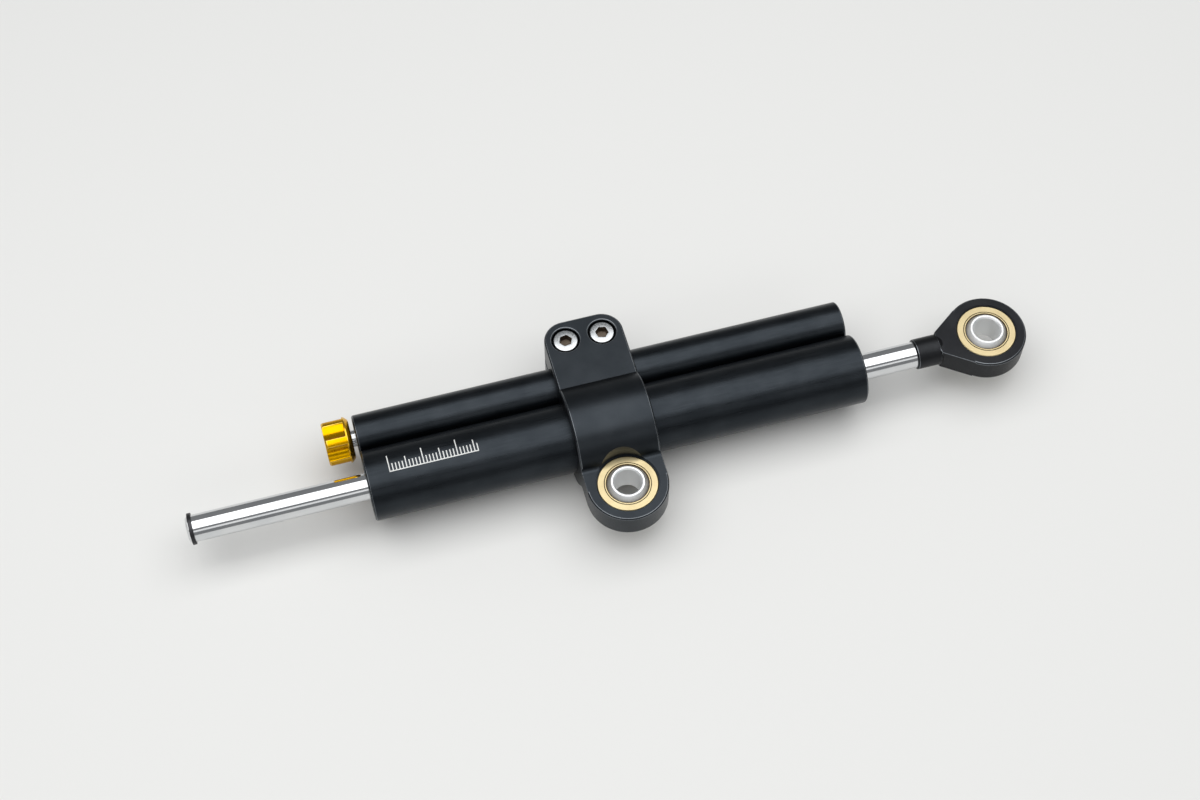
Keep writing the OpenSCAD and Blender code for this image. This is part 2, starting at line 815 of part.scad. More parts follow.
module adjuster_knob() {
    color(gold) on_reservoir(knob_x0) {
        difference() {
            cylinder(r = knob_r, h = knob_len);
            rim_cut(knob_r, knob_edge);
            translate([0, 0, knob_len]) mirror([0, 0, 1]) rim_cut(knob_r, knob_chamfer);
            for (i = [0:knob_flutes - 1]) rotate([0, 0, 360 / knob_flutes * (i + 0.5) + 180 - 30])
                translate([knob_r - flute_depth + flute_r, 0, -eps])
                cylinder(r = flute_r, h = knob_len - knob_rim + eps);
            translate([0, 0, -eps]) cylinder(d = knob_screw_head_d + 0.4, h = knob_screw_head_h + 0.6 + eps);
            cylinder(r = knob_screw_d / 2 + shank_gap, h = knob_len + eps);
            translate([0, 0, knob_screw_head_h + 0.6 + knob_web])
                cylinder(r = spindle_r + seat_gap, h = knob_len);
        }
    }
}

module knob_screw() {
    seat = knob_screw_head_h + 0.6;
    color(chrome) on_reservoir(knob_x0) difference() {
        union() {
            translate([0, 0, seat - knob_screw_head_h])
                cylinder(r1 = knob_screw_head_d / 2 - 0.7, r2 = knob_screw_head_d / 2, h = knob_screw_head_h);
            cylinder(d = knob_screw_d, h = seat + knob_screw_len);
        }
        translate([0, 0, -eps]) cylinder(r = knob_screw_d, h = seat - knob_screw_head_h + eps);
        cylinder(d = 2 / cos(30), h = seat - 0.5, $fn = 6);
    }
}

module adjuster_spindle() {
    x0 = knob_x0 + knob_screw_head_h + 0.6 + knob_web + seat_gap;
    thread_x0 = collar_x0 + collar_t - 2 * run_gap;
    color(steel) difference() {
        union() {
            on_reservoir(x0) cylinder(r = spindle_r, h = collar_x0 - x0 + eps);
            on_reservoir(collar_x0 + run_gap) cylinder(r = collar_r - run_gap, h = collar_t - 2 * run_gap);
            on_reservoir(thread_x0) cylinder(d = needle_thread_d, h = needle_x1 - 2.4 - thread_x0);
        }
        on_reservoir(x0 - eps) cylinder(r = knob_screw_d / 2 + seat_gap, h = knob_screw_len);
        on_reservoir(housing_x0 + 2) sleeve(1.6, spindle_r + eps, spindle_r - 0.8);
        translate([detent_x, reservoir_offset, detent_floor])
            cylinder(r = detent_r + seat_gap, h = collar_r, $fn = 48);
    }
}

module spindle_o_ring() {
    color(seal_black) on_reservoir(housing_x0 + 2.8) o_ring(spindle_r - 0.38, 0.74);
}

module spindle_clip() {
    color(steel) on_reservoir(spindle_clip_x + seat_gap)
        clip(spindle_clip_t - 2 * seat_gap, hex_key / 2 + 0.65, spindle_r, clip_mouth);
}

module detent_ball() {
    color(chrome) translate([detent_x, reservoir_offset, detent_ring]) sphere(r = detent_r, $fn = 48);
}

module detent_spring() {
    len = detent_ring - detent_r - detent_floor - 2 * seat_gap;
    color(steel) translate([detent_x, reservoir_offset, detent_floor + seat_gap])
        coil(len, detent_r - detent_wire / 2 - 0.05, detent_wire, detent_turns, 10);
}

module adjuster_housing() {
    color(steel) difference() {
        on_reservoir(housing_x0) cylinder(r = housing_r, h = housing_len);
        on_reservoir(housing_x0 - eps) cylinder(r = spindle_r + run_gap, h = housing_len);
        on_reservoir(collar_x0) cylinder(r = collar_r, h = collar_t + eps);
        on_reservoir(collar_x0 + collar_t) cylinder(d = hex_key / cos(30), h = housing_len, $fn = 6);
        on_reservoir(spindle_clip_x) cylinder(r = hex_key / 2 + 0.65 + seat_gap, h = spindle_clip_t);
        on_reservoir(housing_x0 + 2) sleeve(1.6, housing_r + eps, housing_r - 1);
        on_reservoir(detent_x - detent_r - run_gap) {
            cylinder(r = detent_ring + detent_r + run_gap, h = 2 * (detent_r + run_gap));
            for (i = [0:clicks - 1]) rotate([0, 0, 360 / clicks * i])
                translate([collar_r + detent_depth, 0, 0])
                cylinder(r = click_r, h = 2 * (detent_r + run_gap), $fn = 24);
        }
    }
}

module housing_o_ring() {
    color(seal_black) on_reservoir(housing_x0 + 2.8) o_ring(housing_r - 0.5, 0.94);
}

module needle_carriage() {
    key = hex_key - 4 * run_gap;
    color(steel) difference() {
        union() {
            on_reservoir(needle_x0) cylinder(d = key / cos(30), h = needle_len, $fn = 6);
            on_reservoir(needle_x1) cylinder(r1 = needle_tip_r + 0.9, r2 = needle_tip_r, h = 1);
            on_reservoir(needle_x1 + 1) cylinder(r1 = needle_tip_r, r2 = 0.3, h = needle_tip - 1);
        }
        on_reservoir(needle_x0 - eps) cylinder(r = needle_thread_d / 2 + run_gap, h = needle_len - 1.2);
    }
}

module valve_seat() {
    color(bronze) on_reservoir(valve_seat_x0) difference() {
        sleeve(valve_seat_t, reservoir_bore_r - seat_gap, orifice_d / 2);
        translate([0, 0, -eps]) cylinder(r1 = orifice_d / 2 + 1.3, r2 = orifice_d / 2, h = 1.2);
    }
}

module floating_piston() {
    color(steel) on_reservoir(float_x0) difference() {
        cylinder(r = float_r, h = float_len);
        translate([0, 0, float_len - float_cup_depth]) cylinder(r = float_cup_r, h = float_cup_depth + eps);
        translate([0, 0, 1.2]) sleeve(float_groove_w, float_r + eps, float_r - float_ring);
    }
}

module floating_piston_ring() {
    color(seal_black) on_reservoir(float_x0 + 1.2 + float_groove_w / 2)
        o_ring(float_r - float_ring / 2 + 0.01, float_ring - 2 * seat_gap);
}

module compensator_spring() {
    x0 = float_x1 - float_cup_depth + seat_gap;
    color(steel) on_reservoir(x0) coil(plug_x0 - seat_gap - x0, spring_r, spring_wire, spring_turns);
}

module reservoir_plug() {
    color(steel) on_reservoir(plug_x0) difference() {
        cylinder(r = reservoir_bore_r - seat_gap, h = plug_len - seat_gap);
        translate([0, 0, 2]) sleeve(1.8, reservoir_bore_r + eps, reservoir_bore_r - 1.2);
        translate([0, 0, plug_len - 3]) cylinder(d = 3, h = 3 + eps);
    }
}

module plug_o_ring() {
    color(seal_black) on_reservoir(plug_x0 + 2.9) o_ring(reservoir_bore_r - 0.61, 1.14);
}

module plug_clip() {
    outer_r = reservoir_bore_r + clip_groove - seat_gap;
    color(steel) on_reservoir(plug_x1 + seat_gap)
        clip(clip_t - 2 * seat_gap, outer_r, reservoir_bore_r - clip_wire, clip_mouth);
}

twin_tube_body();
rod_guide_left();
rod_guide_right();
rod_bushings();
rod_seals();
rod_wipers();
guide_o_rings();
guide_clips();
end_buffers();
port_plugs();
mount_clamp();
clamp_screws();
frame_bearing_race();
frame_bearing_liner();
frame_bearing_ball();
piston();
piston_band();
piston_clips();
piston_rod();
rod_stop_ring();
rod_end();
rod_end_race();
rod_end_liner();
rod_end_ball();
adjuster_knob();
knob_screw();
adjuster_spindle();
spindle_o_ring();
spindle_clip();
detent_ball();
detent_spring();
adjuster_housing();
housing_o_ring();
needle_carriage();
valve_seat();
floating_piston();
floating_piston_ring();
compensator_spring();
reservoir_plug();
plug_o_ring();
plug_clip();
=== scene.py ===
# %% [markdown]
# # A linear steering damper
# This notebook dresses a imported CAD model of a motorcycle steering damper. Two
# parallel tubes carry a chromed through rod, a gold adjuster knob, a split clamp
# and a rod end. The shapes come from the CAD frame, which is never moved. What is
# made here is everything the eye reads as metal: finishes, soft edges, small
# marks, light and the camera.

import json
import math

import bmesh
import bpy
from mathutils import Matrix, Vector

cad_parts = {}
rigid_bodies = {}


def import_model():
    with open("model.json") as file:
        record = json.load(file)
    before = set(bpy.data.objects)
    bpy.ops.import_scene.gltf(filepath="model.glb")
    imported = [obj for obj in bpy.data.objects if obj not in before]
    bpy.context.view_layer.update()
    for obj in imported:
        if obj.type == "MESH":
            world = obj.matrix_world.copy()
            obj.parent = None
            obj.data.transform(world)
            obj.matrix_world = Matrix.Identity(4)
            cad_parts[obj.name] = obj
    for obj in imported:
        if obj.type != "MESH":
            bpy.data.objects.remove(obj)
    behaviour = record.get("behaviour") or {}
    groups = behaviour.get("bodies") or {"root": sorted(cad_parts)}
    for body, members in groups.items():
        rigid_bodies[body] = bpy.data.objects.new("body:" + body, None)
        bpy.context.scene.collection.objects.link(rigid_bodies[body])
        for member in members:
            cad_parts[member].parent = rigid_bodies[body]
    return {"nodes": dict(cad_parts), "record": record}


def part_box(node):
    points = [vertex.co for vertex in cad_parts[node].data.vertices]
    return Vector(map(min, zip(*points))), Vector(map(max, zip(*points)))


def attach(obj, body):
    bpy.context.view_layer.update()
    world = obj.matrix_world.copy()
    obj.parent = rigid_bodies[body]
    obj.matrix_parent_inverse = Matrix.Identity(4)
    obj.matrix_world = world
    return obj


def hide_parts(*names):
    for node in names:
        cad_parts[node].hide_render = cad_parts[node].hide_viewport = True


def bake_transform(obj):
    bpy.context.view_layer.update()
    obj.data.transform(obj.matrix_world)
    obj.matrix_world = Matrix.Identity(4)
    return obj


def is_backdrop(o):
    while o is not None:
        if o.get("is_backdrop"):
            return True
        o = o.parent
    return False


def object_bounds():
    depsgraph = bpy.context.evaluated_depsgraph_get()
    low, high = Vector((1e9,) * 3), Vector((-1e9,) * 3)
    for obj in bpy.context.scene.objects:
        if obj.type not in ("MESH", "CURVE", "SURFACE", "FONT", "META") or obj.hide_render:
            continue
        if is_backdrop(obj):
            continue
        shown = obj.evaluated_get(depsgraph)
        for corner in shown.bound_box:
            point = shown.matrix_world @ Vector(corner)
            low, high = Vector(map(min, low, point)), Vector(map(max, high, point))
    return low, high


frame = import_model()
cad_low, cad_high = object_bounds()
MM = 0.001
print("CAD box in mm:", [round(v / MM, 1) for v in (cad_high - cad_low)])

# %% [markdown]
# ## Camera
# The photograph looks down on the damper from the front left at about sixty
# degrees. A camera could be aimed with a constraint, but here its three axes are
# written down as a matrix, so the view stays the same wherever the object's
# middle is. A 60 mm lens from about 0.6 m gives the mild perspective of a small
# product shot.

# %% Set the camera at the photograph's angle
CAMERA_RIGHT = Vector((0.96368, -0.26706, 0.0))
CAMERA_UP = Vector((0.23033, 0.83115, 0.50609))
CAMERA_BACK = Vector((-0.13516, -0.48771, 0.86248))
CAMERA_PLACE = Vector((-79.86, -258.08, 511.45)) * MM
LENS_MM, SENSOR_MM = 59.78, 36.0
CLIP_START = 0.01

camera = bpy.data.objects.new("camera", bpy.data.cameras.new("camera"))
camera.data.lens = LENS_MM
camera.data.sensor_width = SENSOR_MM
turned = Matrix((CAMERA_RIGHT, CAMERA_UP, CAMERA_BACK)).transposed().to_4x4()
camera.matrix_world = Matrix.Translation(CAMERA_PLACE) @ turned
camera.data.clip_start = CLIP_START
bpy.context.scene.collection.objects.link(camera)
bpy.context.scene.camera = camera
print("camera", round(camera.location.length, 3), "m from the clamp's bearing")

# %% [markdown]
# ## Colours and nodes
# Colours are picked as sRGB hex values, the way a paint chip is read on a screen,
# but Blender's shaders work in linear light. One function does the change. A
# second small function adds a shader node and wires it, so that each finish below
# reads as a short recipe.

# %% Turn hex colours to linear light and add shader nodes


def linear(code):
    """A colour such as "ffcc00" as linear red, green, blue and alpha."""
    parts = [int(code[i : i + 2], 16) / 255 for i in (0, 2, 4)]
    lin = [p / 12.92 if p <= 0.04045 else ((p + 0.055) / 1.055) ** 2.4 for p in parts]
    return (*lin, 1.0)


def add(tree, kind, inputs=None, **settings):
    """Adds a node; each input is a value, or a socket to link from."""
    made = tree.nodes.new(kind)
    for name, value in settings.items():
        setattr(made, name, value)
    for name, value in (inputs or {}).items():
        if isinstance(value, bpy.types.NodeSocket):
            tree.links.new(value, made.inputs[name])
        else:
            made.inputs[name].default_value = value
    return made


print("black anodising in linear light:", [round(v, 4) for v in linear("2b2f33")[:3]])

# %% [markdown]
# ## A machined or blasted surface
# Metal finishes differ less in colour than in the marks left by the tool: glass
# beads leave grains, drawing leaves long streaks, a lathe leaves rings. All of
# them are one noise, stretched along different directions in real millimetres.
# The grains of real blasting are near 0.05 mm, too fine to show at this distance,
# so they are drawn a few times coarser.

# %% Build one finish from a colour, a gloss and a tool mark


def mark_space(tree, marks_mm, centre=None):
    """Object space with one unit per mark; with a centre, rings about the Z axis."""
    sums = "ShaderNodeVectorMath"
    place = add(tree, "ShaderNodeTexCoord").outputs["Object"]
    if centre is not None:
        offset = add(tree, sums, {0: place, 1: centre}, operation="SUBTRACT")
        flat = add(tree, sums, {0: offset.outputs[0], 1: (1, 1, 0)}, operation="MULTIPLY")
        radius = add(tree, sums, {0: flat.outputs[0]}, operation="LENGTH")
        place = add(tree, "ShaderNodeCombineXYZ", {"X": radius.outputs["Value"]}).outputs[0]
    scale = tuple(1 / (m * MM) for m in marks_mm)
    return add(tree, sums, {0: place, 1: scale}, operation="MULTIPLY").outputs[0]


TONE_BAND = (0.35, 0.65)
GLOSS_BAND = (0.3, 0.7)
LEAST_ROUGH = 0.02
MICRON = 1e-6
# The mix node has sockets for each kind of data; these are the ones for colours.
COLOUR_A, COLOUR_B, COLOUR_OUT = 6, 7, 2


def finish(name, colour, colour_2, rough, marks_mm, depth_um, metallic=1.0,
           rough_spread=0.08, centre=None, blotch_mm=9.0):
    """A node material: two close tones in soft blotches, a tool mark in the bump."""
    made = bpy.data.materials.new(name)
    made.use_nodes = True
    tree = made.node_tree
    shader = tree.nodes["Principled BSDF"]
    shader.inputs["Metallic"].default_value = metallic
    space = mark_space(tree, marks_mm, centre)
    blotch_space = mark_space(tree, (blotch_mm,) * 3)
    marks = add(tree, "ShaderNodeTexNoise", {
        "Vector": space, "Scale": 1.0, "Detail": 2.0, "Roughness": 0.6})
    blotch = add(tree, "ShaderNodeTexNoise", {"Vector": blotch_space, "Scale": 1.0, "Detail": 3.0})
    tone = add(tree, "ShaderNodeMapRange", {
        "Value": blotch.outputs[0], "From Min": TONE_BAND[0], "From Max": TONE_BAND[1]})
    mixed = add(tree, "ShaderNodeMix", {"Factor": tone.outputs[0]}, data_type="RGBA")
    mixed.inputs[COLOUR_A].default_value = linear(colour)
    mixed.inputs[COLOUR_B].default_value = linear(colour_2)
    gloss = add(tree, "ShaderNodeMapRange", {
        "Value": marks.outputs[0], "From Min": GLOSS_BAND[0], "From Max": GLOSS_BAND[1],
        "To Min": max(LEAST_ROUGH, rough - rough_spread), "To Max": rough + rough_spread})
    bump = add(tree, "ShaderNodeBump", {
        "Height": marks.outputs[0], "Strength": 1.0, "Distance": depth_um * MICRON})
    tree.links.new(mixed.outputs[COLOUR_OUT], shader.inputs["Base Color"])
    tree.links.new(gloss.outputs[0], shader.inputs["Roughness"])
    tree.links.new(bump.outputs[0], shader.inputs["Normal"])
    return made


# %% [markdown]
# ## The black parts
# Body, clamp and rod end are aluminium dyed black in the anodising bath. The
# oxide is thin and clear, so the metal under it still gives a satin sheen that
# follows the form, which plain black paint wouldn't. The body is an extrusion:
# faint streaks run along it. The clamp is milled and then blasted. The rod end is
# forged, and a little duller.

# %% Anodised black in three surface textures
extruded_black = finish("black_anodised_extrusion", "2b2f33", "313539", 0.34, (6.0, 0.35, 0.35), 3.0)
blasted_black = finish("black_anodised_blasted", "2f3337", "35393d", 0.36, (0.3, 0.3, 0.3), 4.0)
forged_black = finish("black_anodised_forging", "2a2b2d", "303133", 0.44, (0.5, 0.5, 0.5), 8.0)
worn_black = finish("black_anodised_worn_edge", "62666a", "74787c", 0.30, (0.4, 0.4, 0.4), 3.0)
print("black finishes:", [m.name for m in (extruded_black, blasted_black, forged_black, worn_black)])

# %% [markdown]
# ## The bright parts
# The rod is hard chromed and ground, so its only marks are very fine rings round
# it. The balls are lapped to a pale silky sheen. The bearings' outer rings carry a
# yellow passivated zinc coat, turned on a lathe, so their marks are rings about the
# bolt axis. The mesh lining round each ball is painted dark brown: painted shade of
# the narrow gap between ring and ball. The knob is gold anodised: a clear dyed oxide
# over bright metal, as saturated as a sweet wrapper.

# %% Chrome, passivated steel, gold anodising, plain metals and rubber
low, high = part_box("rod_end_ball")
EYE = (low + high) / 2
ground_chrome = finish("hard_chrome_ground", "d2d4d6", "dadbdc", 0.10, (0.25, 40.0, 40.0), 0.2,
                       rough_spread=0.03)
lapped_steel = finish("bearing_steel_lapped", "f8f9fa", "fafbfb", 0.50, (0.5, 0.5, 0.5), 0.3,
                      rough_spread=0.05)
frame_race = finish("yellow_passivated_frame_ring", "c6b58c", "d0c097", 0.36, (0.22, 1, 1), 0.8,
                    centre=(0, 0, 0), blotch_mm=5.0)
rod_race = finish("yellow_passivated_rod_ring", "c6b58c", "d0c097", 0.36, (0.22, 1, 1), 0.8,
                  centre=EYE, blotch_mm=5.0)
# The groove's dark brown is painted shade: a groove this shallow would still reflect light.
groove_painted_shade = finish("staking_groove_painted_shade", "4c3c22", "5a4a2e", 0.50, (0.2, 0.2, 0.2), 2.0)
# The lining's dark brown is painted shade of the narrow gap between ring and ball.
liner_painted_shade = finish("lined_bronze_mesh_painted_shade", "3e3220", "4c3e2a", 0.50, (0.3, 0.3, 0.3), 6.0)
gold_knob = finish("gold_anodised_turned", "d69d00", "e0a806", 0.24, (0.2, 30.0, 30.0), 0.6,
                   rough_spread=0.05)
gold_edge = finish("gold_anodised_edge", "e6bc48", "ecc65c", 0.18, (1.0, 1.0, 1.0), 0.4,
                   rough_spread=0.04)
bright_zinc = finish("bright_zinc_plate", "bfc2c4", "c9cbcd", 0.22, (0.4, 0.4, 0.4), 1.5)
# The socket's dark brown is painted shade in the hollow of the hexagon.
socket_painted_shade = finish("socket_steel_painted_shade", "5c5248", "6a6056", 0.38, (0.3, 0.3, 0.3), 4.0)
turned_aluminium = finish("clear_anodised_turned", "a9abae", "b6b7b9", 0.32, (0.25, 30.0, 30.0), 1.5)
phosphated_steel = finish("phosphated_spring_steel", "3a3a3c", "464648", 0.45, (0.3, 0.3, 0.3), 4.0)
turned_bronze = finish("turned_bronze", "a9763a", "b98548", 0.34, (0.25, 30.0, 30.0), 1.5)
nitrile_rubber = finish("moulded_nitrile_rubber", "151515", "1c1c1c", 0.62, (0.5, 0.5, 0.5), 8.0,
                        metallic=0.0)
band_plastic = finish("filled_ptfe_band", "6b5336", "776040", 0.5, (0.5, 0.5, 0.5), 5.0, metallic=0.0)
print("materials made:", len(bpy.data.materials))

# %% [markdown]
# ## Which piece has which finish
# Each CAD node keeps its own object. Its material slots are simply filled anew.
# A plain table is easier to check against the real parts list than a chain of
# tests on names.

# %% Give every CAD node its finish
FINISHES = {
    extruded_black: ["twin_tube_body"],
    blasted_black: ["mount_clamp"],
    forged_black: ["rod_end"],
    ground_chrome: ["piston_rod"],
    lapped_steel: ["frame_bearing_ball", "rod_end_ball", "detent_ball"],
    frame_race: ["frame_bearing_race"],
    rod_race: ["rod_end_race"],
    liner_painted_shade: ["frame_bearing_liner", "rod_end_liner"],
    gold_knob: ["adjuster_knob"],
    bright_zinc: ["clamp_screws", "knob_screw", "adjuster_spindle", "port_plugs", "needle_carriage"],
    turned_aluminium: ["rod_guide_left", "rod_guide_right", "piston", "adjuster_housing",
                       "floating_piston", "reservoir_plug"],
    phosphated_steel: ["guide_clips", "piston_clips", "spindle_clip", "plug_clip",
                       "rod_stop_ring", "compensator_spring", "detent_spring"],
    turned_bronze: ["rod_bushings", "valve_seat"],
    nitrile_rubber: ["rod_seals", "rod_wipers", "guide_o_rings", "end_buffers", "spindle_o_ring",
                     "housing_o_ring", "floating_piston_ring", "plug_o_ring"],
    band_plastic: ["piston_band"],
}
for material, names in FINISHES.items():
    for name in names:
        mesh = frame["nodes"][name].data
        mesh.materials.clear()
        mesh.materials.append(material)
without = [n for n in frame["nodes"] if not any(n in names for names in FINISHES.values())]
print("nodes without a finish:", without)

# %% [markdown]
# ## Soft edges
# No real edge is perfectly sharp: deburring leaves a fine round that catches the
# light as a bright line, and the anodising wears there first. The triangles of a
# CAD mesh bevel badly, so a copy is welded, its flat areas are merged into single
# faces, and a narrow bevel with its own, lighter material is cut. The copy
# replaces the node and stays where it is. Only outer edges are rounded: an inner
# corner stays as sharp as its cutter leaves it.

# %% Make a bevelled copy of a CAD node

WELD = 1 * MICRON
FLAT_WITHIN = math.radians(0.4)
EDGE_FROM = math.radians(32)
BEVEL_STEPS = 2
body_of_node = {n: b for b, names in frame["record"]["behaviour"]["bodies"].items() for n in names}


def soften(node, width_mm, edge_material, spare=None, mend=None):
    """A copy of a CAD node with narrow bevels on its sharp edges.

    spare is a centre and a radius in mm: edges within that distance of the centre's
    vertical axis stay sharp, as the rim of a bored seat does. mend is a function that
    corrects the mesh before its edges are chosen.
    """
    source = frame["nodes"][node]
    made = bpy.data.objects.new(node + "_soft", source.data.copy())
    bpy.context.scene.collection.objects.link(made)
    made.data.materials.append(edge_material)
    shape = bmesh.new()
    shape.from_mesh(made.data)
    bmesh.ops.remove_doubles(shape, verts=shape.verts, dist=WELD)
    if mend is not None:
        mend(shape)
    bmesh.ops.dissolve_limit(shape, angle_limit=FLAT_WITHIN, verts=shape.verts, edges=shape.edges)
    weight = shape.edges.layers.float.new("bevel_weight_edge")
    chosen = 0
    for edge in shape.edges:
        middle = (edge.verts[0].co + edge.verts[1].co) / 2
        spared = spare is not None and (middle - spare[0]).xy.length < spare[1] * MM
        if len(edge.link_faces) == 2 and edge.calc_face_angle() > EDGE_FROM:
            rounded = edge.is_convex and not spared
            edge.smooth = rounded
            edge[weight] = 1.0 if rounded else 0.0
            chosen += rounded
    for face in shape.faces:
        face.smooth = True
    shape.to_mesh(made.data)
    shape.free()
    bevel = made.modifiers.new("edge", "BEVEL")
    bevel.width = width_mm * MM
    bevel.segments = BEVEL_STEPS
    bevel.limit_method = "WEIGHT"
    bevel.material = 1
    bevel.use_clamp_overlap = False
    weighted = made.modifiers.new("shade", "WEIGHTED_NORMAL")
    weighted.keep_sharp = True
    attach(made, body_of_node[node])
    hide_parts(node)
    print(node, "faces", len(made.data.polygons), "edges softened", chosen)


print("pieces that ride on a body:", len(body_of_node))

# %% [markdown]
# ## The clamp's end faces
# The clamp is a saddle round the main tube and a block round the small one. Each
# has its own chamfer, and where they meet, each cutter ran a few millimetres on
# into the other's end face and left a mark 0.4 mm deep. On a real clamp the two
# chamfers meet in a corner. Every point of the end face is therefore set to the
# shallower of the two chamfers at its place, after cuts that give the corner its
# points.

# %% Let the two chamfers meet in a corner
low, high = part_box("piston_rod")
ROD_Y = (low.y + high.y) / 2
CLAMP_CHAMFER = 0.4 * MM
BLOCK_HALF = 10.0 * MM
BLOCK_STRAIGHT_TO = 47.0 * MM
CHAMFER_REACH = 1.1 * CLAMP_CHAMFER
MARKS_FROM = 8 * MM
MARKS_ABOVE_BLOCK = 0.2 * MM
MARK_LEAST = 0.01 * MM
POINTS_MEET = 2 * MICRON
MICRON_DIGITS = 6
clamp_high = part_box("mount_clamp")[1]


def chamfer_depth(place):
    """How far the end face is cut back at a place, by the saddle's or the block's chamfer."""
    saddle = math.hypot(place.y - ROD_Y, place.z) - (clamp_high.z - CLAMP_CHAMFER)
    block = abs(place.z) - (BLOCK_HALF - CLAMP_CHAMFER)
    return max(0.0, min(saddle, block))


def join_chamfers(shape):
    """Moves the points of both end faces to where the two chamfers really are."""
    marks = {round(v.co.y, MICRON_DIGITS) for v in shape.verts
             if v.co.y > ROD_Y + MARKS_FROM
             and BLOCK_HALF < abs(v.co.z) < BLOCK_HALF + MARKS_ABOVE_BLOCK
             and abs(v.co.x) > clamp_high.x - CHAMFER_REACH}
    cuts = [(Vector((0, y, 0)), Vector((0, 1, 0))) for y in sorted(marks)]
    for z in (BLOCK_HALF - CLAMP_CHAMFER, BLOCK_HALF):
        cuts += [(Vector((0, 0, z)), Vector((0, 0, 1))), (Vector((0, 0, -z)), Vector((0, 0, 1)))]
    for place, normal in cuts:
        whole = shape.verts[:] + shape.edges[:] + shape.faces[:]
        bmesh.ops.bisect_plane(shape, geom=whole, plane_co=place, plane_no=normal)
    moved = 0
    for vert in shape.verts:
        depth = clamp_high.x - abs(vert.co.x)
        if ROD_Y < vert.co.y < BLOCK_STRAIGHT_TO and depth < CHAMFER_REACH:
            right = chamfer_depth(vert.co)
            if depth > right + MARK_LEAST:
                vert.co.x = math.copysign(clamp_high.x - right, vert.co.x)
                moved += 1
    bmesh.ops.remove_doubles(shape, verts=shape.verts, dist=POINTS_MEET)
    bmesh.ops.dissolve_degenerate(shape, edges=shape.edges, dist=WELD)
    print("chamfer cuts", len(cuts), "points moved", moved)


# %% Soften the edges that show
RACE_SEAT_R = 10.2
soften("mount_clamp", 0.12, worn_black, spare=(Vector((0, 0, 0)), RACE_SEAT_R),
       mend=join_chamfers)
soften("twin_tube_body", 0.10, worn_black)
soften("rod_end", 0.12, worn_black, spare=(EYE, RACE_SEAT_R))
soften("adjuster_knob", 0.15, gold_edge)

# %% [markdown]
# ## The clamp's screws
# The two socket head screws are what holds the damper in its clamp. A real head is
# cold forged: its side is knurled for the fingers, its top edge is turned round,
# and the hexagon was punched, with a drilled cone at its floor. Modelling rings of
# points and joining them gives all of that in one skin, and keeps the knurl as
# true geometry, which a bump map wouldn't show at the rim.

# %% Helpers for shapes made of rings
KNURLS = 36
POINTS_PER_KNURL = 4
SCREW_SIDES = KNURLS * POINTS_PER_KNURL
HEAD_R, HEAD_H, SHANK_R, SCREW_LEN = 3.8, 4.0, 2.0, 14.0
HEX_ACROSS, HEX_DEPTH = 3.4, 2.2
KNURL_DEPTH = 0.09
DRILLED_CONE = 0.5


def round_ring(radius, z):
    """Points of a plain circle, in mm."""
    turns = [math.tau * i / SCREW_SIDES for i in range(SCREW_SIDES)]
    return [(radius * math.cos(t), radius * math.sin(t), z) for t in turns]


def knurled_ring(radius, z):
    """A circle with one notch for each knurl."""
    ring = []
    for i in range(SCREW_SIDES):
        t = math.tau * i / SCREW_SIDES
        r = radius - (KNURL_DEPTH if i % POINTS_PER_KNURL == 0 else 0.0)
        ring.append((r * math.cos(t), r * math.sin(t), z))
    return ring


def hexagon_ring(across, z):
    """A hexagon with as many points as the circles, so that they join up."""
    ring = []
    for i in range(SCREW_SIDES):
        t = math.tau * i / SCREW_SIDES
        off = (t + math.pi / 6) % (math.pi / 3) - math.pi / 6
        r = across / 2 / math.cos(off)
        ring.append((r * math.cos(t), r * math.sin(t), z))
    return ring


def skin(rings, place, turn):
    """Points and faces of a stack of rings, closed flat below and by a drilled cone above."""
    c, s = math.cos(turn), math.sin(turn)
    points = [(place[0], place[1], place[2] + rings[0][0][2] * MM)]
    for ring in rings:
        points += [(place[0] + (x * c - y * s) * MM, place[1] + (x * s + y * c) * MM,
                    place[2] + z * MM) for x, y, z in ring]
    points.append((place[0], place[1], place[2] + (rings[-1][0][2] - DRILLED_CONE) * MM))
    n = SCREW_SIDES
    faces = [(0, 1 + (i + 1) % n, 1 + i) for i in range(n)]
    for k in range(len(rings) - 1):
        a, b = 1 + k * n, 1 + (k + 1) * n
        faces += [(a + i, a + (i + 1) % n, b + (i + 1) % n, b + i) for i in range(n)]
    last = 1 + (len(rings) - 1) * n
    faces += [(last + i, last + (i + 1) % n, len(points) - 1) for i in range(n)]
    return points, faces


print("points round a screw:", SCREW_SIDES)

# %% Stack the rings of one screw, from its tip up and down into its socket
TIP_CHAMFER, UNDER_HEAD, KNURL_BELOW_TOP = 0.3, 0.2, 0.6
ROUND_INSET, ROUND_R, ROUND_STEPS = 0.1, 0.4, 4
HEX_CHAMFER_WIDE, HEX_CHAMFER_DEEP, DRILL_SHARE = 0.16, 0.10, 0.45

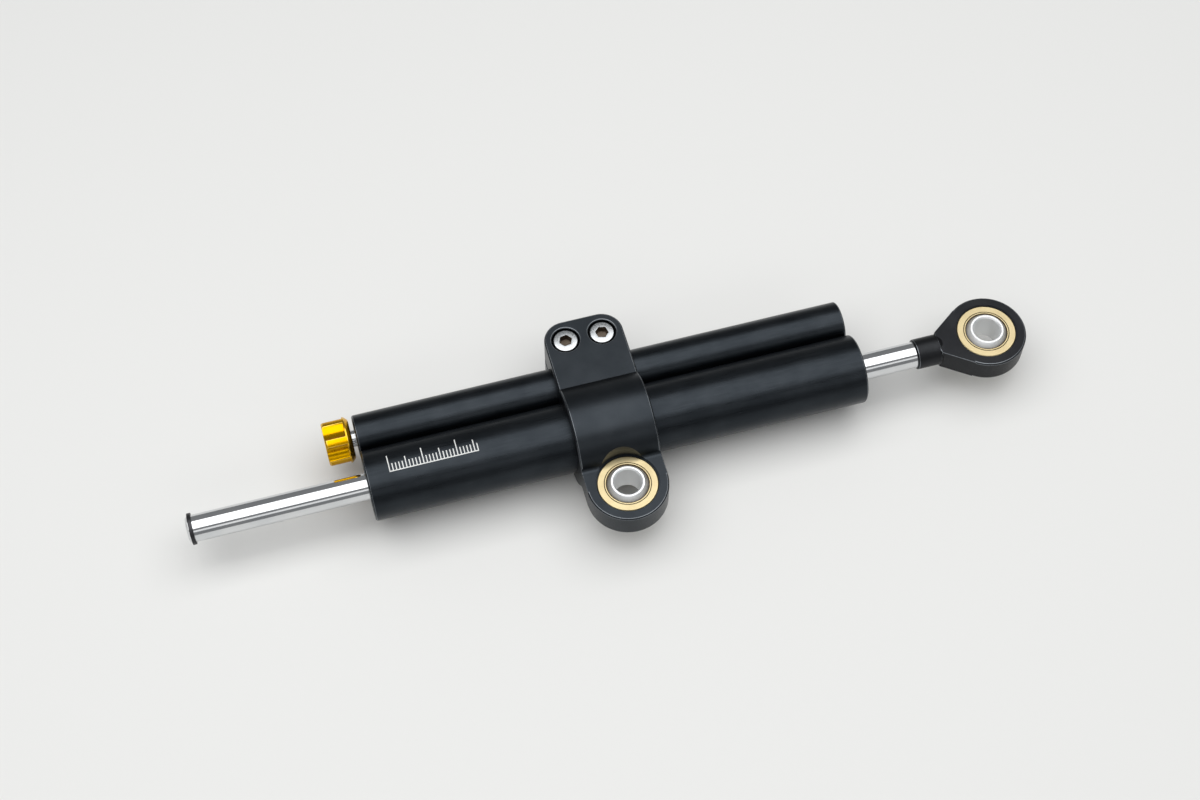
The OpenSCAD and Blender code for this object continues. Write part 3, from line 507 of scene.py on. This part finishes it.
head = [round_ring(SHANK_R - TIP_CHAMFER, -SCREW_LEN), round_ring(SHANK_R, -SCREW_LEN + TIP_CHAMFER),
        round_ring(SHANK_R, 0.0), round_ring(HEAD_R - UNDER_HEAD, 0.0),
        knurled_ring(HEAD_R, UNDER_HEAD), knurled_ring(HEAD_R, HEAD_H - KNURL_BELOW_TOP)]
for step in range(ROUND_STEPS + 1):
    lean = math.pi / 2 * step / ROUND_STEPS
    head.append(round_ring(HEAD_R - ROUND_INSET - ROUND_R * (1 - math.cos(lean)),
                           HEAD_H - ROUND_R * (1 - math.sin(lean))))
socket_from = len(head) + 1
head += [hexagon_ring(HEX_ACROSS + HEX_CHAMFER_WIDE, HEAD_H),
         hexagon_ring(HEX_ACROSS, HEAD_H - HEX_CHAMFER_DEEP),
         hexagon_ring(HEX_ACROSS, HEAD_H - HEX_DEPTH),
         round_ring(DRILL_SHARE * HEX_ACROSS, HEAD_H - HEX_DEPTH)]
print("rings in one screw:", len(head), "of which the socket's:", len(head) + 1 - socket_from)

# %% Make both clamp screws
SCREW_TURNS = (math.radians(38), math.radians(14))
SHARP_FROM = math.radians(28)

low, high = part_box("clamp_screws")
seat_z = high.z - HEAD_H * MM
screw_points, screw_faces = [], []
for x, turn in zip((low.x + HEAD_R * MM, high.x - HEAD_R * MM), SCREW_TURNS):
    points, faces = skin(head, (x, (low.y + high.y) / 2, seat_z), turn)
    screw_faces += [tuple(v + len(screw_points) for v in face) for face in faces]
    screw_points += points
screws = bpy.data.objects.new("clamp_screws_forged", bpy.data.meshes.new("clamp_screws_forged"))
screws.data.from_pydata(screw_points, [], screw_faces)
screws.data.materials.append(bright_zinc)
screws.data.materials.append(socket_painted_shade)
faces_each = len(screw_faces) // 2
# The socket's faces take the painted shade.
for face in screws.data.polygons:
    if face.index % faces_each >= SCREW_SIDES * socket_from:
        face.material_index = 1
screws.data.shade_smooth()
screws.data.set_sharp_from_angle(angle=SHARP_FROM)
bpy.context.scene.collection.objects.link(screws)
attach(screws, body_of_node["clamp_screws"])
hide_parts("clamp_screws")
print("screw faces:", len(screws.data.polygons))

# %% [markdown]
# ## The compensator's spring
# The coil spring in the small tube is pressed together when the floating piston
# moves. A spring can't ride on one body: its seat end stays with the tube and its
# other end goes with the piston. Here the spring's mesh is only copied into an
# object of its own, with its place baked in, and the CAD node is hidden.

# %% Copy the spring into an object of its own
coil_mesh = frame["nodes"]["compensator_spring"].data.copy()
coil = bpy.data.objects.new("compensator_spring_coils", coil_mesh)
bpy.context.scene.collection.objects.link(coil)
low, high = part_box("compensator_spring")
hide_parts("compensator_spring")
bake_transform(coil)
print("spring", round((high.x - low.x) / MM, 1), "mm long")

# %% [markdown]
# ## The bearings' outer rings
# A spherical bearing is held together by its outer ring: a narrow groove is rolled
# into its face, which leaves a thin lip that closes over the lining. Seen from
# above that reads as a dark line and a bright line round the ball; the dark line
# is painted shade, a dark brown on the groove's faces. The ring is turned work, so
# its profile is written down as radius and height, with the ring's real sizes
# measured from the CAD nodes, and swept round the bolt axis. A screw modifier
# would do the same, but plain faces let the groove carry its painted shade.

# %% Work out the section of a ring with its groove
GROOVE_FROM, GROOVE_WIDE, GROOVE_DEEP = 0.30, 0.26, 0.18
RING_CHAMFER = 0.30
SEAT_CUTS = 5


def half_ring(outer, inner, half_wide):
    """The upper half of the section, from outside to inside, as (radius, height) in mm."""
    mouth = math.sqrt(inner**2 - half_wide**2)
    lip = mouth + GROOVE_FROM
    half = [(outer, half_wide - RING_CHAMFER), (outer - RING_CHAMFER, half_wide),
            (lip + GROOVE_WIDE, half_wide), (lip + GROOVE_WIDE / 2, half_wide - GROOVE_DEEP),
            (lip, half_wide), (mouth, half_wide)]
    heights = [half_wide * k / SEAT_CUTS for k in range(SEAT_CUTS - 1, 0, -1)]
    return half + [(math.sqrt(inner**2 - z**2), z) for z in heights]


print("staking groove:", GROOVE_WIDE, "mm wide and", GROOVE_DEEP, "mm deep")

# %% Turn both outer rings with their staking grooves
LINER_CLEAR = 0.02
RING_SIDES = 144
GROOVE_AT = 2


def turn_ring(node, liner, finish_of_ring):
    """A ring that replaces the node, with the groove's faces painted dark brown as painted shade."""
    low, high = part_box(node)
    centre = (low + high) / 2
    liner_low, liner_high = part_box(liner)
    inner = (liner_high.x - liner_low.x) / 2 / MM + LINER_CLEAR
    half = half_ring((high.x - low.x) / 2 / MM, inner, (high.z - low.z) / 2 / MM)
    section = half + [(inner, 0.0)] + [(r, -z) for r, z in reversed(half)]
    points, faces, groove = [], [], []
    for side in range(RING_SIDES):
        turn = math.tau * side / RING_SIDES
        points += [centre + Vector((r * math.cos(turn), r * math.sin(turn), z)) * MM for r, z in section]
    count = len(section)
    # Two faces make the groove above; two more, counted from the end, make the one below.
    # These faces carry the groove's painted shade.
    dark = {GROOVE_AT, GROOVE_AT + 1, count - GROOVE_AT - 3, count - GROOVE_AT - 2}
    for side in range(RING_SIDES):
        a, b = side * count, (side + 1) % RING_SIDES * count
        for k in range(count):
            n = (k + 1) % count
            faces.append((a + k, a + n, b + n, b + k))
            groove.append(k in dark)
    made = bpy.data.objects.new(node + "_turned", bpy.data.meshes.new(node + "_turned"))
    made.data.from_pydata(points, [], faces)
    made.data.materials.append(finish_of_ring)
    made.data.materials.append(groove_painted_shade)
    for face in made.data.polygons:
        face.material_index = int(groove[face.index])
    shape = bmesh.new()
    shape.from_mesh(made.data)
    bmesh.ops.recalc_face_normals(shape, faces=shape.faces)
    shape.to_mesh(made.data)
    shape.free()
    made.data.shade_smooth()
    made.data.set_sharp_from_angle(angle=SHARP_FROM)
    bpy.context.scene.collection.objects.link(made)
    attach(made, body_of_node[node])
    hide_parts(node)
    print(node, "faces", len(made.data.polygons), "groove faces", sum(groove))


turn_ring("frame_bearing_race", "frame_bearing_liner", frame_race)
turn_ring("rod_end_race", "rod_end_liner", rod_race)

# %% [markdown]
# ## A printed scale
# Near the adjuster end such dampers carry a small white screen print. Here it is a
# plain stroke scale of one millimetre ticks. Ink is a few hundredths of a
# millimetre thick, so it is made as thin curved patches that follow the tube, not
# as a picture on it.

# %% Make a strip of ink that follows the main tube
INK_ABOVE = 0.02 * MM
SCALE_LEAN = math.radians(103)
body_low, body_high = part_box("twin_tube_body")
TUBE_R = body_high.z


def patch(points, faces, x0, x1, arc0, arc1, cuts):
    """A strip on the tube from x0 to x1 and between two arc lengths from the base line."""
    first = len(points)
    for i in range(cuts + 1):
        turn = SCALE_LEAN - (arc0 + (arc1 - arc0) * i / cuts) / TUBE_R
        for x in (x0, x1):
            r = TUBE_R + INK_ABOVE
            points.append((x, ROD_Y + r * math.cos(turn), r * math.sin(turn)))
    faces += [(k, k + 1, k + 3, k + 2) for k in range(first, first + 2 * cuts, 2)]


print("main tube's radius:", round(TUBE_R / MM, 2), "mm")

# %% Print the scale on the main tube
INK_LINE = 0.30 * MM
SCALE_FROM_END, SCALE_LONG, SCALE_STEP = 7.0, 26, 1.0
TICK_TEN, TICK_FIVE, TICK_ONE = 5.2, 3.6, 2.2
TICK_CUTS = 8
white_ink = finish("white_screen_print", "dadbd9", "e2e3e1", 0.5, (0.3, 0.3, 0.3), 2.0, metallic=0.0)

ink_points, ink_faces = [], []
scale_x = body_low.x + SCALE_FROM_END * MM
scale_end = scale_x + SCALE_LONG * MM
patch(ink_points, ink_faces, scale_x - INK_LINE / 2, scale_end + INK_LINE / 2, -INK_LINE, 0.0, 1)
for mark in range(SCALE_LONG + 1):
    height = TICK_TEN if mark % 10 == 0 else TICK_FIVE if mark % 5 == 0 else TICK_ONE
    x = scale_x + mark * SCALE_STEP * MM
    patch(ink_points, ink_faces, x - INK_LINE / 2, x + INK_LINE / 2, 0.0, height * MM, TICK_CUTS)
scale_print = bpy.data.objects.new("stroke_scale_print", bpy.data.meshes.new("stroke_scale_print"))
scale_print.data.from_pydata(ink_points, [], ink_faces)
scale_print.data.materials.append(white_ink)
scale_print.data.shade_smooth()
bpy.context.scene.collection.objects.link(scale_print)
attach(scale_print, "cylinder")
print("ticks printed:", SCALE_LONG + 1)

# %% [markdown]
# ## Floor and light
# The stage is a plain pale floor, wide enough to have no edge in view. One large
# softbox hangs over the damper: it draws the long grey highlights along the tops
# of the black tubes and the white line on the rod, and it leaves the sides dark, as
# studio light from above does. A dim, low strip in front is there for the balls: a
# sphere mirrors the front of the studio, and without the strip it would look dull.
# The world gives a little fill. Far from the damper the floor would fall into
# shadow, because the softbox is near, so there the paper glows for the camera and
# for rays that a mirror or glass sends on. That keeps the background pale from any
# side, and adds no light of its own to a dull surface.

# %% Lay the floor
FLOOR_BELOW = 0.2 * MM
FLOOR_Z = cad_low.z - FLOOR_BELOW
FLOOR_REACH = 6.0
PAPER, PAPER_ROUGH = "e4e4e2", 0.85
GLOW_FROM, GLOW_TO = 0.35, 1.5
GLOW_STRENGTH = 0.62

signs = ((-1, -1), (1, -1), (1, 1), (-1, 1))
corners = [(x * FLOOR_REACH, y * FLOOR_REACH, FLOOR_Z) for x, y in signs]
floor = bpy.data.objects.new("floor", bpy.data.meshes.new("floor"))
floor.data.from_pydata(corners, [], [(0, 1, 2, 3)])
bpy.context.scene.collection.objects.link(floor)
floor_paint = bpy.data.materials.new("pale_studio_paper")
floor_paint.use_nodes = True
tree = floor_paint.node_tree
paper = tree.nodes["Principled BSDF"]
paper.inputs["Base Color"].default_value = linear(PAPER)
paper.inputs["Roughness"].default_value = PAPER_ROUGH
paper.inputs["Emission Color"].default_value = linear(PAPER)
place = add(tree, "ShaderNodeTexCoord").outputs["Object"]
away = add(tree, "ShaderNodeVectorMath", {0: place}, operation="LENGTH")
glow = add(tree, "ShaderNodeMapRange", {
    "Value": away.outputs["Value"], "From Min": GLOW_FROM, "From Max": GLOW_TO,
    "To Max": GLOW_STRENGTH}, interpolation_type="SMOOTHSTEP")
ray = add(tree, "ShaderNodeLightPath").outputs
seen = add(tree, "ShaderNodeMath", {0: ray["Is Camera Ray"], 1: ray["Is Glossy Ray"]}, operation="MAXIMUM")
seen = add(tree, "ShaderNodeMath", {0: seen.outputs[0], 1: ray["Is Transmission Ray"]}, operation="MAXIMUM")
seen_glow = add(tree, "ShaderNodeMath", {0: glow.outputs[0], 1: seen.outputs[0]}, operation="MULTIPLY")
tree.links.new(seen_glow.outputs[0], paper.inputs["Emission Strength"])
floor.data.materials.append(floor_paint)
floor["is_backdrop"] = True
print("floor at", round(FLOOR_Z / MM, 2), "mm")

# %% Hang the softbox and a low strip
SOFTBOX_SIZE = (1.5, 1.0)
SOFTBOX_LEFT, SOFTBOX_HIGH = 0.05, 0.80
SOFTBOX_PLACE = Vector(((cad_low.x + cad_high.x) / 2 - SOFTBOX_LEFT, ROD_Y, SOFTBOX_HIGH))
SOFTBOX_WATTS = 9.5
STRIP_SIZE = (1.4, 0.26)
STRIP_PLACE = Vector((0.0, -0.85, 0.60))
STRIP_WATTS = 0.9


def hang(name, size, place, watts, aim):
    """A rectangular area lamp at a place, facing the point it is aimed at."""
    lamp = bpy.data.objects.new(name, bpy.data.lights.new(name, "AREA"))
    lamp.data.shape = "RECTANGLE"
    lamp.data.size, lamp.data.size_y = size
    lamp.data.energy = watts
    lamp.location = place
    lamp.rotation_euler = (aim - place).to_track_quat("-Z", "Y").to_euler()
    bpy.context.scene.collection.objects.link(lamp)
    print(name, size, "m, from its aim", round((aim - place).length, 2), "m")


BELOW_SOFTBOX = Vector((SOFTBOX_PLACE.x, SOFTBOX_PLACE.y, 0.0))
hang("overhead_softbox", SOFTBOX_SIZE, SOFTBOX_PLACE, SOFTBOX_WATTS, BELOW_SOFTBOX)
hang("low_front_strip", STRIP_SIZE, STRIP_PLACE, STRIP_WATTS, Vector((0.0, 0.0, 0.0)))

# %% Set the world
SKY = "e8eaec"
SKY_FILL = 0.30

world = bpy.data.worlds.new("studio")
world.use_nodes = True
bpy.context.scene.world = world
sky = world.node_tree.nodes["Background"]
sky.inputs["Color"].default_value = linear(SKY)
sky.inputs["Strength"].default_value = SKY_FILL
bpy.context.scene.view_settings.view_transform = "Standard"
print("world fill", SKY_FILL)

# %% [markdown]
# ## The sizes
# The boxes of the CAD model and of the dressed one are printed, so that the
# two can be compared: looks never change the size.

# %% Print the sizes and finish
low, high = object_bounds()
print("visual box in mm:", [round(v / MM, 1) for v in (high - low)])
